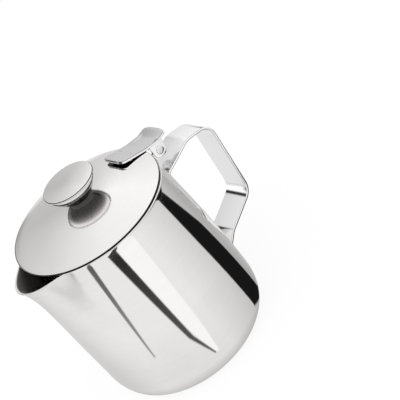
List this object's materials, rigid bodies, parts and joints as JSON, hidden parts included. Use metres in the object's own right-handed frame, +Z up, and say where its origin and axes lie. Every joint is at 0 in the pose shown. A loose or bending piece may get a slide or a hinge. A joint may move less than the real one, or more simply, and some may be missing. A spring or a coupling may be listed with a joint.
{
  "type": "hot milk jug with lid",
  "caption": "Polished stainless steel milk jug with a pressed spout, a hinged lid with knob and thumb tab, and a welded strip handle.",
  "frame": {"origin": "centre of the flat resting face under the body", "axes": "+Z up, +X from the jug's axis towards the handle, -X towards the spout, +Y across"},
  "size_m": [0.1229, 0.084, 0.1097],
  "materials": {
    "body_steel": "mirror-polished stainless steel",
    "handle_steel": "polished stainless steel strip",
    "pin_steel": "bright stainless steel, peened heads",
    "lid_steel": "polished stainless steel, faint haze",
    "knob_steel": "polished stainless steel",
    "screw_steel": "plain stainless steel"
  },
  "bodies": {
    "jug": {"body_shell": "body_steel", "handle": "handle_steel", "hinge_bracket": "handle_steel", "hinge_pin": "pin_steel"},
    "lid": {"lid_shell": "lid_steel", "lid_collar": "lid_steel", "lid_strap": "lid_steel", "knob_neck": "knob_steel", "knob_cap": "knob_steel", "knob_screw": "screw_steel", "knob_washer": "screw_steel"}
  },
  "joints": [
    {"name": "lid_hinge", "type": "hinge", "parent": "jug", "child": "lid", "pos_m": [0.0427, 0, 0.087], "axis": [0, 1, 0], "range_deg": [0, 84]}
  ]
}
